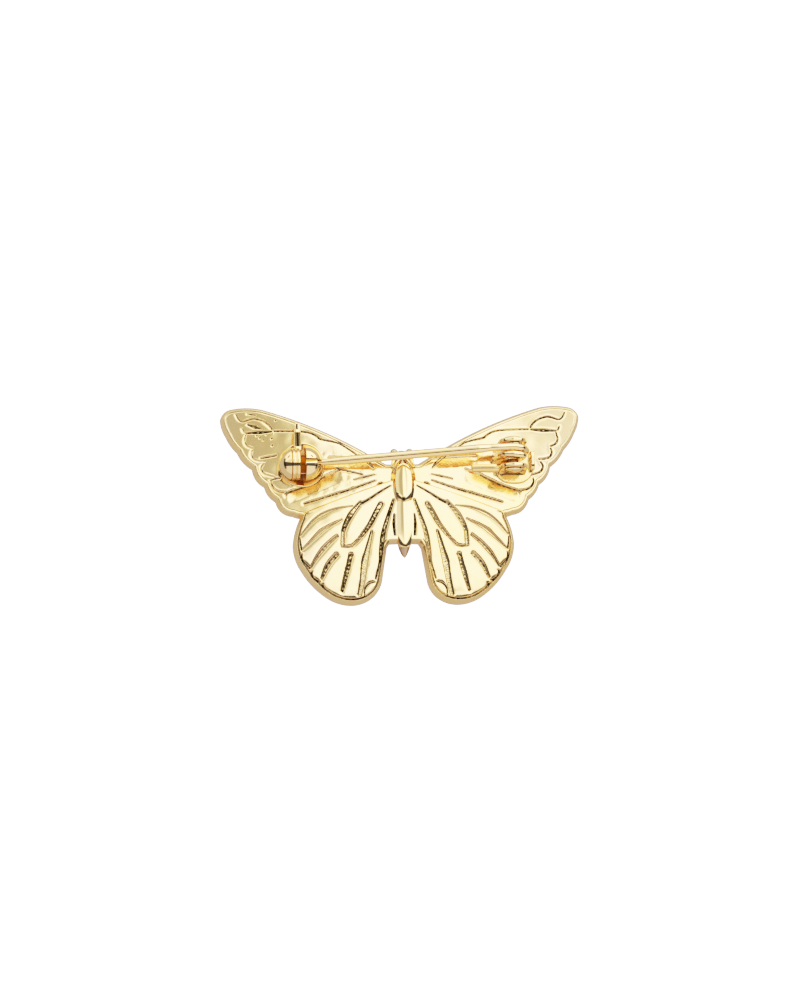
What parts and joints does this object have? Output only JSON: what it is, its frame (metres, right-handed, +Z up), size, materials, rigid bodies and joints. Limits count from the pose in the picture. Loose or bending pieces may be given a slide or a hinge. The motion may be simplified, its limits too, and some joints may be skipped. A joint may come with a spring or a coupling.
{
  "type": "butterfly brooch",
  "caption": "Butterfly brooch of gold-coloured cast metal with veined wings, a hinged pin stem and a ball catch with a turning lever.",
  "frame": {"origin": "middle of the brooch, on the surface that it lies on face down", "axes": "+X towards the wing that carries the hinge, +Y from the tail to the head, +Z up out of the back, on the pin's side"},
  "size_m": [0.046, 0.0255, 0.0073],
  "materials": {
    "casting": "polished pale gold plating on cast metal, fine pits in the grooves",
    "rivet": "polished gold plating",
    "stem": "bright drawn wire with pale gold plating",
    "rotor": "polished gold plating, dark in the lever's ribs"
  },
  "bodies": {
    "butterfly": {"butterfly": "casting", "hinge_rivet": "rivet"},
    "pin_stem": {"pin_stem": "stem"},
    "catch_rotor": {"catch_rotor": "rotor"}
  },
  "joints": [
    {"name": "pin_hinge", "type": "hinge", "parent": "butterfly", "child": "pin_stem", "pos_m": [0.0139, 0.0065, 0.00523], "axis": [0, 1, 0], "range_deg": [0, 75]},
    {"name": "catch_turn", "type": "hinge", "parent": "butterfly", "child": "catch_rotor", "pos_m": [-0.0133, 0.00485, 0.00496], "axis": [1, 0, 0], "range_deg": [0, 150]}
  ]
}
